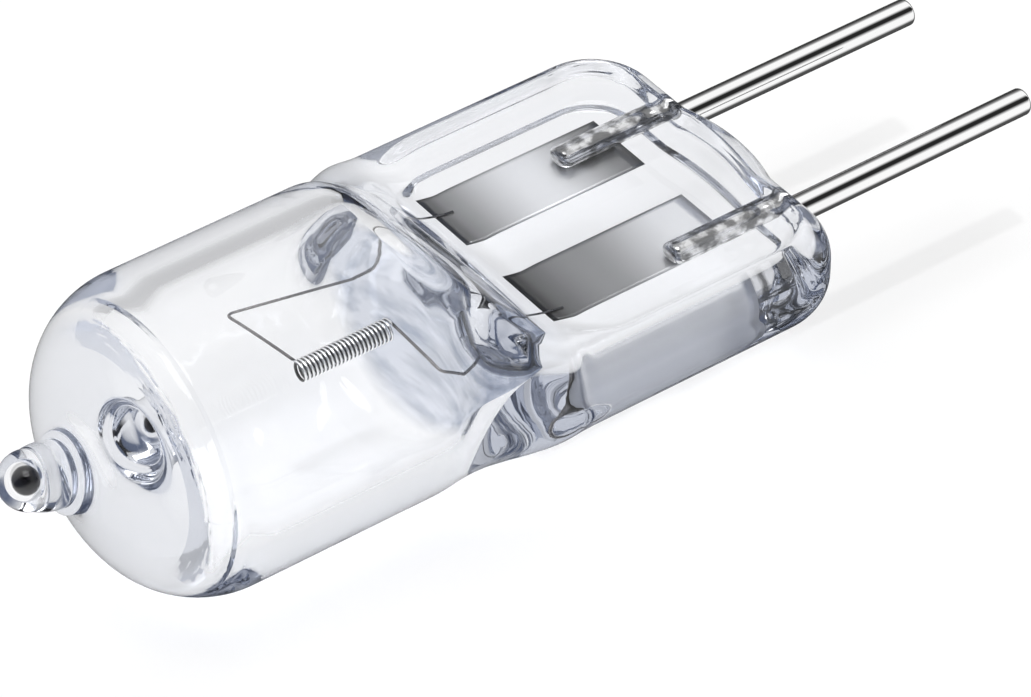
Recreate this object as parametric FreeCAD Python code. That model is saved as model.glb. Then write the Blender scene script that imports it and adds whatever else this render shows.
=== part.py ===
"""Halogen capsule bulb with two pins.

A quartz tube is drawn to a dome with a sealed exhaust tip at one end and pressed flat at the other.
The flat press holds two thin sealing foils and the inner ends of two round contact pins.
One tungsten wire stands in the bulb: a coil on the lamp's axis and the two legs that carry it.

Millimetres. The origin is on the lamp's axis, midway between the pins, where they leave the glass.
X runs along the axis towards the pins' free ends, Y from pin to pin, Z square to the press's broad face.
"""
import FreeCAD, Part

import math
import os

from FreeCAD import Base

Vector = Base.Vector

# Contact pins
pin_pitch = 6.35
pin_diameter = 1.0
pin_length = 10.4
pin_depth = 5.2
pin_seal_diameter = 1.1
pin_neck_length = 0.75
pin_neck_end = 0.15
pin_end_bevel = 0.16
pin_inner_bevel = 0.2

# Bulb
bulb_diameter = 11.3
bulb_wall = 1.15
tube_end = -15.7
dome_start = -22.95
dome_knuckle = 3.9
dome_crown = 9.4

# Cavity ends
cavity_knuckle = 1.3
cavity_crown = 12.0
cavity_dome_start = -23.4
cavity_bottom = -12.3
cavity_bottom_round = 0.7
cavity_taper_length = 3.1
cavity_taper_sag = 0.45

# Exhaust tip
tip_root = -26.9
tip_offset = 0.34
tip_tilt = 15.5
tip_root_radius = 2.15
tip_neck_radius = 1.42
tip_neck_height = 0.62
tip_crease_radius = 1.13
tip_crease_height = 0.74
tip_ball_radius = 1.03
tip_ball_height = 1.9
tip_drop_sag = 0.07
tip_cone_mouth = 1.1
tip_cone_height = 0.5

# Press
press_width = 14.3
press_thickness = 3.56
press_edge_round = 1.5
press_corner = 2.7
press_start = -10.9
press_flare_length = 3.9
shoulder_fullness = 0.26
foot_bulge = 0.42
foot_bulge_width = 4.6
web_thickness = 2.84
recess_border = 1.3
recess_corner = 1.7
recess_start = -10.6
recess_draft = 45.0

# Sealing foils
foil_width = 2.95
foil_spacing = 4.97
foil_shift = 0.45
foil_start = -10.7
foil_end = -2.65
foil_thickness = 0.04

# Filament
wire_diameter = 0.11
wire_sides = 6
coil_steps = 8
bend_steps = 3
coil_diameter = 0.83
coil_pitch = 0.159
coil_turns = 23
coil_front = -18.35
front_leg_reach = 4.0
front_exit_angle = 4.0
rear_leg_reach = 2.65
rear_exit_angle = 9.0
leg_bend_radius = 0.25
front_leg_seat = 3.3
rear_leg_seat = 2.92
leg_overlap = 1.3
leg_dip = 0.9

# Clearances
seal_gap = 0.02
weld_gap = 0.01

# Sizes that follow
bulb_radius = bulb_diameter / 2
cavity_radius = bulb_radius - bulb_wall
pin_radius = pin_diameter / 2
pin_seal_radius = pin_seal_diameter / 2
half_pitch = pin_pitch / 2
wire_radius = wire_diameter / 2
half_width = press_width / 2
half_height = press_thickness / 2
half_web = web_thickness / 2
edge_flat = half_height - press_edge_round
foil_top = -(pin_seal_radius + weld_gap)
leg_level = foil_top + weld_gap + wire_radius
circle_split = math.radians(50)
shoulder_steps = 8
knuckle_bands = 6
hair = 0.001


def dome_profile(start, radius, knuckle, crown):
    """Edges of a dome from its apex to a tube's wall: a shallow crown arc and a tight knuckle arc."""
    turn = math.asin((radius - knuckle) / (crown - knuckle))
    knuckle_centre = Vector(start, 0, radius - knuckle)
    crown_centre = Vector(start + (crown - knuckle) * math.cos(turn), 0, 0)

    def on_crown(angle):
        return crown_centre + Vector(-math.cos(angle), 0, math.sin(angle)) * crown

    def on_knuckle(angle):
        return knuckle_centre + Vector(-math.cos(angle), 0, math.sin(angle)) * knuckle

    middle = (turn + math.pi / 2) / 2
    crown_arc = Part.Arc(on_crown(0), on_crown(turn / 2), on_crown(turn))
    knuckle_arc = Part.Arc(on_crown(turn), on_knuckle(middle), on_knuckle(math.pi / 2))
    return crown_arc.toShape(), knuckle_arc.toShape(), on_crown(0)


def domed_tube(start, end, radius, knuckle, crown):
    """Solid of revolution about the lamp's axis: a dome at its front and a flat end.

    The knuckle is turned as a row of narrow cones, the crown as a true sphere.
    """
    crown_arc, knuckle_arc, apex = dome_profile(start, radius, knuckle, crown)
    dome = [crown_arc] + Part.makePolygon(knuckle_arc.discretize(knuckle_bands + 1)).Edges
    wall = Part.LineSegment(Vector(start, 0, radius), Vector(end, 0, radius)).toShape()
    back = Part.LineSegment(Vector(end, 0, radius), Vector(end, 0, 0)).toShape()
    axis = Part.LineSegment(Vector(end, 0, 0), apex).toShape()
    face = Part.Face(Part.Wire(Part.__sortEdges__(dome + [wall, back, axis])))
    return face.revolve(Vector(0, 0, 0), Vector(1, 0, 0), 360)


def section_wire(x, width, corner, top, height):
    """Closed section of the tube: flat sides, corner arcs and broad faces that may be arched.

    width is the half width, corner the corner arcs' radius, top the angle at which each of them
    meets the broad face, and height the half height at the middle.
    """
    def on_corner(angle):
        return Vector(x, width - corner + corner * math.sin(angle), edge_flat + corner * math.cos(angle))

    corner_end = on_corner(top)
    corner_middle = on_corner((math.pi / 2 + top) / 2)
    corner_start = Vector(x, width, edge_flat)
    side_middle = Vector(x, width, 0)
    crown = Vector(x, 0, height)

    def mirrored(point, side_y, side_z):
        return Vector(x, point.y * side_y, point.z * side_z)

    def curve(first, middle, last):
        if (middle - first).getAngle(last - middle) < hair:
            return Part.LineSegment(first, last).toShape()
        return Part.Arc(first, middle, last).toShape()

    edges = []
    for side_y, side_z in ((1, 1), (-1, 1), (-1, -1), (1, -1)):
        start = mirrored(corner_start, side_y, side_z)
        middle = mirrored(corner_middle, side_y, side_z)
        end = mirrored(corner_end, side_y, side_z)
        if side_y == side_z:
            edges.append(curve(start, middle, end))
            edges.append(curve(end, mirrored(crown, 1, side_z), mirrored(end, -1, 1)))
        else:
            edges.append(curve(end, middle, start))
            edges.append(curve(start, mirrored(side_middle, side_y, 1), mirrored(start, 1, -1)))
    return Part.Wire(edges)


def round_section(x):
    """The tube's own circle, divided where the pressed sections have their corners."""
    side = math.asin(edge_flat / bulb_radius)
    angles = [side, math.pi / 2 - circle_split, math.pi / 2 + circle_split, math.pi - side]
    angles += [angle + math.pi for angle in angles]
    angles.append(angles[0] + 2 * math.pi)

    def at(angle):
        return Vector(x, bulb_radius * math.cos(angle), bulb_radius * math.sin(angle))

    edges = []
    for first, last in zip(angles, angles[1:]):
        edges.append(Part.Arc(at(first), at((first + last) / 2), at(last)).toShape())
    return Part.Wire(edges)


def pressed_section(x, share):
    """The tube's section when a share of the squeeze is done, an oval that ends as the flat press."""
    height = bulb_radius + (half_height - bulb_radius) * ease(share)
    spread = share * (press_start - tube_end) / press_flare_length
    width = bulb_radius + (half_width - bulb_radius) * ease(spread)
    rise = height - edge_flat
    arch = shoulder_fullness * 4 * share * (1 - share)
    corner = rise * (1 - arch)
    if arch < hair:
        return section_wire(x, width, corner, 0, height)
    face_radius = ((width - corner) ** 2 + rise ** 2 - corner ** 2) / (2 * (rise - corner))
    top = math.atan2(width - corner, face_radius - rise)
    return section_wire(x, width, corner, top, height)


def ease(share):
    """Smooth step from 0 to 1."""
    return (1 - math.cos(math.pi * min(share, 1.0))) / 2


def shoulder_step():
    """Distance between the shoulder's sections."""
    return (press_start - tube_end) / shoulder_steps


def shoulder():
    """The stretch where the round tube is squeezed flat and spreads sideways."""
    sections = [round_section(tube_end - shoulder_step()), round_section(tube_end)]
    for step in range(1, shoulder_steps + 1):
        sections.append(pressed_section(tube_end + step * shoulder_step(), step / shoulder_steps))
    sections.append(pressed_section(press_start + shoulder_step(), 1))
    return Part.makeLoft(sections, True, True)


def foot_outline():
    """Plan of the press from the shoulder to its foot, which swells between the pins."""
    start = press_start + shoulder_step()
    bulge_half = foot_bulge_width / 2
    corner_y = half_width - press_corner
    slant = press_corner * (1 - math.sqrt(0.5))
    right_side = Vector(-press_corner, half_width, 0)
    left_side = Vector(-press_corner, -half_width, 0)
    swell = Part.Arc(Vector(0, bulge_half, 0), Vector(foot_bulge, 0, 0), Vector(0, -bulge_half, 0))
    edges = [
        Part.LineSegment(Vector(start, half_width, 0), right_side).toShape(),
        Part.Arc(right_side, Vector(-slant, half_width - slant, 0), Vector(0, corner_y, 0)).toShape(),
        Part.LineSegment(Vector(0, corner_y, 0), Vector(0, bulge_half, 0)).toShape(),
        swell.toShape(),
        Part.LineSegment(Vector(0, -bulge_half, 0), Vector(0, -corner_y, 0)).toShape(),
        Part.Arc(Vector(0, -corner_y, 0), Vector(-slant, slant - half_width, 0), left_side).toShape(),
        Part.LineSegment(left_side, Vector(start, -half_width, 0)).toShape(),
        Part.LineSegment(Vector(start, -half_width, 0), Vector(start, half_width, 0)).toShape(),
    ]
    return Part.Wire(edges)


def press_slab():
    """The flat press with soft edges all round but where it joins the shoulder."""
    slab = Part.Face(foot_outline()).extrude(Vector(0, 0, press_thickness))
    slab.translate(Vector(0, 0, -half_height))
    rim = []
    for edge in slab.Edges:
        box = edge.BoundBox
        level = box.ZLength < hair and abs(abs(box.ZMin) - half_height) < hair
        if level and box.XMax > press_start + shoulder_step() + hair:
            rim.append(edge)
    return slab.makeFillet(press_edge_round, rim)


def rounded_plate(x_low, x_high, half_span, corner, z):
    """Rounded rectangle in a level plane."""
    slant = corner * (1 - math.sqrt(0.5))
    edges = []
    corners = ((x_high, 1, -1), (x_high, -1, -1), (x_low, -1, 1), (x_low, 1, 1))
    for index, (x, side, inward) in enumerate(corners):
        on_end = Vector(x, side * (half_span - corner), z)
        on_side = Vector(x + inward * corner, side * half_span, z)
        on_arc = Vector(x + inward * slant, side * (half_span - slant), z)
        first, last = (on_side, on_end) if index % 2 == 0 else (on_end, on_side)
        edges.append(Part.Arc(first, on_arc, last).toShape())
        following = corners[(index + 1) % 4]
        next_end = Vector(following[0], following[1] * (half_span - corner), z)
        next_side = Vector(following[0] + following[2] * corner, following[1] * half_span, z)
        target = next_end if index % 2 == 0 else next_side
        edges.append(Part.LineSegment(last, target).toShape())
    return Part.Wire(edges)


def recess(side):
    """The shallow field that the press jaw leaves in a broad face, cut with sloping walls."""
    depth = half_height - half_web
    spread = depth / math.tan(math.radians(recess_draft))
    floor = rounded_plate(recess_start, -recess_border, half_width - recess_border, recess_corner, half_web)
    top = rounded_plate(recess_start - 2 * spread, 2 * spread - recess_border,
                        half_width - recess_border + 2 * spread, recess_corner + 2 * spread,
                        half_web + 2 * depth)
    cutter = Part.makeLoft([floor, top], True, True)
    if side < 0:
        cutter.rotate(Vector(0, 0, 0), Vector(1, 0, 0), 180)
    return cutter


def bowed(first, last, sag):
    """Arc between two points, bowed away from the X axis by a sag."""
    chord = (last - first).normalize()
    outward = Vector(-chord.z, 0, chord.x)
    if outward.z < 0:
        outward = outward * -1
    return Part.Arc(first, (first + last) * 0.5 + outward * sag, last).toShape()


def exhaust_tip():
    """The sealed stub of the exhaust tube: a flared root, a crease and a drop with a round end."""
    ball_side = Vector(tip_ball_height, 0, tip_ball_radius)
    ball_slant = tip_ball_radius * math.sqrt(0.5)
    foot = Vector(-bulb_wall, 0, 0)
    inner = Vector(-bulb_wall, 0, tip_root_radius)
    root = Vector(0, 0, tip_root_radius)
    neck = Vector(tip_neck_height, 0, tip_neck_radius)
    crease = Vector(tip_crease_height, 0, tip_crease_radius)
    end = Vector(tip_ball_height + tip_ball_radius, 0, 0)
    edges = [
        Part.LineSegment(foot, inner).toShape(),
        Part.LineSegment(inner, root).toShape(),
        Part.LineSegment(root, neck).toShape(),
        Part.LineSegment(neck, crease).toShape(),
        bowed(crease, ball_side, tip_drop_sag),
        Part.Arc(ball_side, Vector(tip_ball_height + ball_slant, 0, ball_slant), end).toShape(),
        Part.LineSegment(end, foot).toShape(),
    ]
    tip = Part.Face(Part.Wire(edges)).revolve(Vector(0, 0, 0), Vector(1, 0, 0), 360)
    return place_tip(tip)


def tip_cone():
    """The hollow root of the exhaust tube, drawn to a point when it was sealed."""
    length = cavity_front() - tip_root + tip_cone_height + bulb_wall
    cone = Part.makeCone(tip_cone_mouth, 0, length, Vector(tip_cone_height - length, 0, 0), Vector(1, 0, 0))
    return place_tip(cone)


def cavity_front():
    """Place of the cavity's apex on the axis."""
    return dome_profile(cavity_dome_start, cavity_radius, cavity_knuckle, cavity_crown)[2].x


def place_tip(shape):
    """Turns a shape drawn along X to the tip's own axis, which leans away from the lamp's."""
    shape.rotate(Vector(0, 0, 0), Vector(0, 1, 0), 180 + tip_tilt)
    shape.translate(Vector(tip_root, 0, tip_offset))
    return shape


def cavity():
    """The gas space: a domed tube whose far end is pinched to a blunt wedge."""
    tube = domed_tube(cavity_dome_start, cavity_bottom, cavity_radius, cavity_knuckle, cavity_crown)
    front = cavity_front() - bulb_wall
    high = bulb_radius
    upper = Vector(cavity_bottom - cavity_taper_length, 0, high)
    lower = Vector(upper.x, 0, -high)
    upper_blunt = Vector(cavity_bottom - cavity_bottom_round, 0, cavity_bottom_round)
    lower_blunt = Vector(upper_blunt.x, 0, -cavity_bottom_round)
    wedge_line = (upper_blunt - upper).normalize()
    bow = Vector(-wedge_line.z, 0, wedge_line.x) * cavity_taper_sag
    middle = (upper + upper_blunt) * 0.5 + bow
    profile = [
        Part.LineSegment(Vector(front, 0, -high), Vector(front, 0, high)).toShape(),
        Part.LineSegment(Vector(front, 0, high), upper).toShape(),
        Part.Arc(upper, middle, upper_blunt).toShape(),
        Part.Arc(upper_blunt, Vector(cavity_bottom, 0, 0), lower_blunt).toShape(),
        Part.Arc(lower_blunt, Vector(middle.x, 0, -middle.z), lower).toShape(),
        Part.LineSegment(lower, Vector(front, 0, -high)).toShape(),
    ]
    wedge = Part.Face(Part.Wire(profile)).extrude(Vector(0, 2 * high, 0))
    wedge.translate(Vector(0, -high, 0))
    return tube.common(wedge)


def softened(points, radius):
    """The points of a bent wire, with each inner corner replaced by points on an arc."""
    run = [points[0]]
    for before, corner, after in zip(points, points[1:], points[2:]):
        arriving = (corner - before).normalize()
        leaving = (after - corner).normalize()
        half_turn = arriving.getAngle(leaving) / 2
        inward = (leaving - arriving).normalize()
        centre = corner + inward * (radius / math.cos(half_turn))
        start = corner - arriving * (radius * math.tan(half_turn))
        axis = arriving.cross(leaving)
        for step in range(bend_steps + 1):
            turn = Base.Rotation(axis, math.degrees(2 * half_turn) * step / bend_steps)
            run.append(centre + turn.multVec(start - centre))
    run.append(points[-1])
    return run


def wire_along(run, radius):
    """Wire of a radius along a run of points, mitred at each of them.

    Its section has wire_sides sides and the round wire's area.
    """
    share = 2 * math.pi / wire_sides
    corner_radius = radius * math.sqrt(share / math.sin(share))
    heading = (run[1] - run[0]).normalize()
    corner = heading.cross(Vector(0, 0, 1)).normalize() * corner_radius
    turn = Base.Rotation(heading, math.degrees(share))
    corners = []
    for _ in range(wire_sides):
        corners.append(run[0] + corner)
        corner = turn.multVec(corner)
    sections = [corners]
    for place, here in enumerate(run[1:], start=1):
        after = (run[place + 1] - here).normalize() if place + 1 < len(run) else heading
        mitre = heading + after
        corners = [point + heading * ((here - point).dot(mitre) / heading.dot(mitre)) for point in corners]
        sections.append(corners)
        heading = after
    wires = [Part.makePolygon(corners + corners[:1]) for corners in sections]
    return Part.makeLoft(wires, True, True)


def coil_radius():
    """Radius of the coil at the middle of its wire."""
    return (coil_diameter - wire_diameter) / 2


def coil_rear():
    """Place of the coil's rear end along the axis."""
    return coil_front + coil_pitch * (coil_turns + (front_exit_angle + rear_exit_angle) / 360)


def leg_points(rear):
    """Corner points of a leg, from the coil's end to the leg's end on its foil."""
    radius = coil_radius()
    advance = coil_pitch / (2 * math.pi)
    side = -1 if rear else 1
    tilt = math.radians(rear_exit_angle if rear else front_exit_angle)
    level = coil_rear() if rear else coil_front
    start = Vector(level, side * radius * math.sin(tilt), radius * math.cos(tilt))
    heading = Vector(-side * advance, side * radius * math.cos(tilt), -radius * math.sin(tilt))
    reach = rear_leg_reach if rear else front_leg_reach
    seat = rear_leg_seat if rear else front_leg_seat
    bend = start + heading * ((reach - abs(start.y)) / abs(heading.y))
    landing = Vector(cavity_bottom - leg_dip, side * seat, leg_level)
    end = Vector(foil_start + leg_overlap, side * seat, leg_level)
    return [start, bend, landing, end]


def leg(rear, clearance=0):
    """Points of one leg, from the coil's end to its own; a clearance takes it further along the foil."""
    points = leg_points(rear)
    points[-1] = points[-1] + Vector(clearance, 0, 0)
    return softened(points, leg_bend_radius)


def filament():
    """The one tungsten wire: the front leg, the coil and the rear leg."""
    whole_turn = 2 * math.pi
    start = math.radians(-front_exit_angle)
    sweep = whole_turn * coil_turns + math.radians(front_exit_angle + rear_exit_angle)
    steps = round(coil_steps * sweep / whole_turn)
    coil = []
    for step in range(1, steps):
        angle = start + sweep * step / steps
        x = coil_front + coil_pitch * sweep / whole_turn * step / steps
        coil.append(Vector(x, -coil_radius() * math.sin(angle), coil_radius() * math.cos(angle)))
    return wire_along(leg(False)[::-1] + coil + leg(True), wire_radius)


def foil(side):
    """A sealing foil, flat in the glass under the pin's inner end."""
    low_y = foil_shift + side * foil_spacing / 2 - foil_width / 2
    return Part.makeBox(foil_end - foil_start, foil_width, foil_thickness,
                        Vector(foil_start, low_y, foil_top - foil_thickness))


def foil_pocket(side):
    """The place that a foil takes up in the glass."""
    box = foil(side).BoundBox
    return Part.makeBox(box.XLength + 2 * seal_gap, box.YLength + 2 * seal_gap, box.ZLength + 2 * seal_gap,
                        Vector(box.XMin - seal_gap, box.YMin - seal_gap, box.ZMin - seal_gap))


def pin_body(side, low, high, clearance):
    """Round bar along X: the free pin, a neck at the foot, and the stouter stretch in the glass.

    A clearance makes it wider all round.
    """
    free = pin_radius + clearance
    sealed = pin_seal_radius + clearance
    outline = [
        Vector(high, 0, 0),
        Vector(high, 0, free - pin_end_bevel),
        Vector(high - pin_end_bevel, 0, free),
        Vector(pin_neck_end, 0, free),
        Vector(pin_neck_end - pin_neck_length, 0, sealed),
        Vector(low + pin_inner_bevel, 0, sealed),
        Vector(low, 0, sealed - pin_inner_bevel),
        Vector(low, 0, 0),
    ]
    half = Part.Face(Part.makePolygon(outline + outline[:1]))
    shape = half.revolve(Vector(0, 0, 0), Vector(1, 0, 0), 360)
    shape.translate(Vector(0, side * half_pitch, 0))
    return shape


def contact_pin(side):
    """A contact pin with its embedded inner end."""
    return pin_body(side, -pin_depth, pin_length, 0)


def pin_bore(side):
    """The bore that a pin fills in the glass."""
    return pin_body(side, -pin_depth - seal_gap, foot_bulge + pin_diameter, seal_gap)


def glass_envelope():
    """The one quartz piece: bulb, exhaust tip and press, with its cavity and seal pockets."""
    bulb = domed_tube(dome_start, tube_end - shoulder_step(), bulb_radius, dome_knuckle, dome_crown)
    glass = bulb.multiFuse([exhaust_tip(), shoulder(), press_slab()]).removeSplitter()
    cutters = [cavity().fuse(tip_cone())]
    for side in (1, -1):
        cutters.append(recess(side))
        cutters.append(foil_pocket(side))
        cutters.append(pin_bore(side))
        cutters.append(wire_along(leg(side < 0, seal_gap), wire_radius + seal_gap))
    return glass.cut(cutters)


def export(name, shape):
    """Writes one piece as a STEP file, after a look at its soundness."""
    solids = shape.Solids
    print(name, "solids", len(solids), "valid", shape.isValid(), "volume", round(shape.Volume, 4))
    single = solids[0] if len(solids) == 1 else shape
    single.exportStep(os.path.join("parts", name + ".step"))


def main():
    os.makedirs("parts", exist_ok=True)
    export("glass_envelope", glass_envelope())
    export("filament", filament())
    for name, side in (("left", 1), ("right", -1)):
        export("seal_foil_" + name, foil(side))
        export("contact_pin_" + name, contact_pin(side))


main()
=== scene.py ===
"""Looks of the halogen capsule bulb: clear quartz, a coiled filament, sealing foils and polished pins.

Sizes below are millimetres in the CAD's frame, and mm() turns them to metres.
"""
import math

import bmesh
import bpy
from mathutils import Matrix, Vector


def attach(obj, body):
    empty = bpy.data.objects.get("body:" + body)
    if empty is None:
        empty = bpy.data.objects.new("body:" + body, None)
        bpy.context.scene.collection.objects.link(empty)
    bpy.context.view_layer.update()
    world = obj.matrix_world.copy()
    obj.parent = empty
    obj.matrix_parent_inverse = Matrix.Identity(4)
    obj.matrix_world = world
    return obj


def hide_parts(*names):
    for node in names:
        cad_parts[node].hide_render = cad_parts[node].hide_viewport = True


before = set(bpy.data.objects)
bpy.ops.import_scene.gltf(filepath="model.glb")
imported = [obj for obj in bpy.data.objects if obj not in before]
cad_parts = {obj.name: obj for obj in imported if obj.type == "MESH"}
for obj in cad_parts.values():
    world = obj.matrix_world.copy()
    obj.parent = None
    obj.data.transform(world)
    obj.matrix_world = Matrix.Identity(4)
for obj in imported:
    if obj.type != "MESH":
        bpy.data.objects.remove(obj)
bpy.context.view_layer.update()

# Glass, outside
BULB_RADIUS = 5.65
TUBE_END = -15.7
DOME_START = -22.95
DOME_KNUCKLE = 3.9
DOME_CROWN = 9.4
PRESS_START = -10.9
PRESS_FLARE = 3.9
HALF_WIDTH = 7.15
HALF_HEIGHT = 1.78
EDGE_ROUND = 1.5
PLAN_CORNER = 2.7
FOOT_BULGE = 0.42
FOOT_BULGE_HALF = 2.3
FOOT_SWELL_REACH = 2.2
HALF_WEB = 1.42
RECESS_BORDER = 1.3
RECESS_CORNER = 1.7
RECESS_START = -10.6
RECESS_START_SLOPE = 0.8
RECESS_SHARP_BRINK = 0.1
RECESS_BRINK = 0.6
RECESS_FOOT = 0.16
RECESS_SOFT_FOOT = 0.2
RECESS_SOFT_REACH = 1.7
RECESS_SOFT_HALF = 5.0
RECESS_SOFT_FADE = 1.2
RECESS_MARGIN = 0.3
EDGE_FLAT = HALF_HEIGHT - EDGE_ROUND
# Stretch of closely spaced rings at the shoulder's foot, and end of the widely spaced ones
CLOSE_RINGS_START = PRESS_START - 0.24
CLOSE_RINGS_END = -8.7
WIDE_RINGS_END = -3.2

# Exhaust tip
TIP_ROOT = -26.9
TIP_OFFSET = 0.34
TIP_TILT = math.radians(15.5)
TIP_NECK_RADIUS = 1.42
TIP_NECK_HEIGHT = 0.62
TIP_CREASE_RADIUS = 1.13
TIP_CREASE_HEIGHT = 0.74
TIP_BALL_RADIUS = 1.03
TIP_BALL_HEIGHT = 1.9
TIP_DROP_BELLY = 0.28
TIP_FLARE_RADIUS = 2.7
FLARE_PULL_DOME = 0.62
FLARE_PULL_NECK = 0.34

# Bubble in the exhaust tip
VOID_RADIUS = 0.5
VOID_HALF_LENGTH = 0.48
VOID_MIDDLE = 0.05

# Cavity
CAVITY_RADIUS = 4.5
CAVITY_START = -23.4
CAVITY_KNUCKLE = 1.3
CAVITY_CROWN = 12.0
KNUCKLE_STEPS = 24
KNUCKLE_BEAD = 0.1
KNUCKLE_BEAD_LEAN = 0.7
CAVITY_BOTTOM = -12.2
CAVITY_TAPER = 3.4
CAVITY_END_HEIGHT = 0.95
CAVITY_END_ROUND = 0.2
CAVITY_END_BOW = 0.2
CAVITY_END_SKEW = 0.6
CAVITY_TAPER_BELLY = 2.0
CAVITY_TAPER_BLEND = 0.9

# Pins, foils and wire
HALF_PITCH = 3.175
PIN_RADIUS = 0.5
PIN_LENGTH = 10.4
PIN_DEPTH = 5.2
PIN_SEAL_RADIUS = 0.55
PIN_NECK_START = -0.6
PIN_NECK_END = 0.15
PIN_INNER_ROUND = 0.3
PIN_FREE_ROUND = 0.16
FOIL_WIDTH = 2.95
FOIL_SPACING = 4.97
FOIL_SHIFT = 0.45
FOIL_START = -10.7
FOIL_END = -2.65
FOIL_TOP = -0.56
FOIL_HALF_THICKNESS = 0.017
FOIL_HALF_EDGE = 0.003
WIRE_RADIUS = 0.055
COIL_RADIUS = 0.36
COIL_PITCH = 0.159
COIL_TURNS = 23
COIL_STEPS = 22
COIL_FRONT = -18.35
FRONT_EXIT = math.radians(4)
REAR_EXIT = math.radians(9)
FRONT_REACH = 4.0
REAR_REACH = 2.65
FRONT_SEAT = 3.3
REAR_SEAT = 2.92
LEG_LANDING = -13.2
LEG_OVERLAP = 1.3
LEG_BEND = 0.3
WELD_GAP = 0.01
FOIL_LEVEL = FOIL_TOP - 0.02

# Tones of the guessed painted shade on the glass's inner faces: near black in the bubble, streaky dark and
# pale slate at the gas space's pinched end
BUBBLE_PAINTED_SHADE = (0.012, 0.012, 0.014)
PINCH_SHADE_DARK = (0.22, 0.26, 0.35)
PINCH_SHADE_PALE = (0.62, 0.66, 0.76)

# Floor, and direction from the lamp to the place that the photo was taken from
FLOOR_LEVEL = -BULB_RADIUS
FLOOR_WHITE = 0.5
FLOOR_WHITE_BY_GLASS = 0.75
FLOOR_NEAR = 0.03
FLOOR_FAR = 0.08
PHOTO_SIDE = Vector((-0.4509, -0.6094, 0.6521))


def mm(point):
    return Vector(point) * 0.001


def ease(share):
    """Smooth step from 0 to 1."""
    return (1 - math.cos(math.pi * min(max(share, 0.0), 1.0))) / 2


def lerp(first, last, share):
    return first + (last - first) * share


# Mesh helpers

def add_face(shape, corners):
    """One face from its corners, without the repeated ones; nothing where fewer than three are left."""
    distinct = []
    for corner in corners:
        if corner not in distinct:
            distinct.append(corner)
    if len(distinct) > 2:
        shape.faces.new(distinct)


def ring_mesh(name, rings, inside_out=False, slot_end=False):
    """One closed surface from rings of points; a ring of a single point closes an end.

    With slot_end, the last ring is a flat slot, and faces across it close that end.
    """
    shape = bmesh.new()
    loops = [[shape.verts.new(mm(point)) for point in ring] for ring in rings]
    for ring, following in zip(loops, loops[1:]):
        count = max(len(ring), len(following))
        for i in range(count):
            j = (i + 1) % count
            add_face(shape, [ring[i % len(ring)], ring[j % len(ring)],
                             following[j % len(following)], following[i % len(following)]])
    if slot_end:
        last = loops[-1]
        count = len(last)
        for i in range(count // 2):
            add_face(shape, [last[i], last[i + 1], last[(count - i - 1) % count], last[(count - i) % count]])
    bmesh.ops.remove_doubles(shape, verts=shape.verts, dist=2e-7)
    bmesh.ops.dissolve_degenerate(shape, edges=shape.edges, dist=1e-8)
    bmesh.ops.recalc_face_normals(shape, faces=shape.faces)
    if inside_out:
        bmesh.ops.reverse_faces(shape, faces=shape.faces)
    mesh = bpy.data.meshes.new(name)
    shape.to_mesh(mesh)
    shape.free()
    for face in mesh.polygons:
        face.use_smooth = True
    piece = bpy.data.objects.new(name, mesh)
    bpy.context.scene.collection.objects.link(piece)
    return piece


def joined(name, parts):
    """Several meshes made one object."""
    bpy.ops.object.select_all(action="DESELECT")
    for part in parts:
        part.select_set(True)
    bpy.context.view_layer.objects.active = parts[0]
    bpy.ops.object.join()
    piece = bpy.context.view_layer.objects.active
    piece.name = name
    piece.data.name = name
    return piece


def spread(first, last, count, power=1.0):
    """Numbers from first to last, without the last, closer together near first for a power over 1."""
    return [lerp(first, last, (i / count) ** power) for i in range(count)]


# Stations round a quarter of the section: (kind, share), from the middle of the side to the crown
QUARTER = [("side", share) for share in (0.0, 0.5)]
QUARTER += [("corner", share) for share in spread(0.0, 0.72, 9) + spread(0.72, 1.0, 9)]
QUARTER += [("face", share) for share in spread(0.0, 1.0, 20, 1.5)]
QUARTER += [("face", 1.0)]
SIDE_ANGLE = math.asin(EDGE_FLAT / BULB_RADIUS)
FACE_ANGLE = math.radians(40)


def full_ring(quarter):
    """A whole ring from a quarter's (y, z) points, which run from the side's middle to the crown."""
    upper = quarter + [(-y, z) for y, z in reversed(quarter[:-1])]
    lower = [(y, -z) for y, z in reversed(upper[1:-1])]
    return upper + lower


def round_quarter(radius):
    points = []
    for kind, share in QUARTER:
        if kind == "side":
            angle = SIDE_ANGLE * share
        elif kind == "corner":
            angle = lerp(SIDE_ANGLE, FACE_ANGLE, share)
        else:
            angle = lerp(FACE_ANGLE, math.pi / 2, share)
        points.append((radius * math.cos(angle), radius * math.sin(angle)))
    return points


def squeezed_quarter(x):
    """Section of the shoulder: an oval that turns to the flat press."""
    share = (x - TUBE_END) / (PRESS_START - TUBE_END)
    height = lerp(BULB_RADIUS, HALF_HEIGHT, ease(share))
    width = lerp(BULB_RADIUS, HALF_WIDTH, ease((x - TUBE_END) / PRESS_FLARE))
    blend = ease(share)
    rise = height - EDGE_FLAT
    points = []
    for (kind, part), (round_y, round_z) in zip(QUARTER, round_quarter(1.0)):
        if kind == "side":
            y, z = width, EDGE_FLAT * part
        elif kind == "corner":
            angle = part * math.pi / 2
            y, z = width - rise + rise * math.cos(angle), EDGE_FLAT + rise * math.sin(angle)
        else:
            y, z = (width - rise) * (1 - part), height
        points.append((lerp(round_y * width, y, blend), lerp(round_z * height, z, blend)))
    return points


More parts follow.
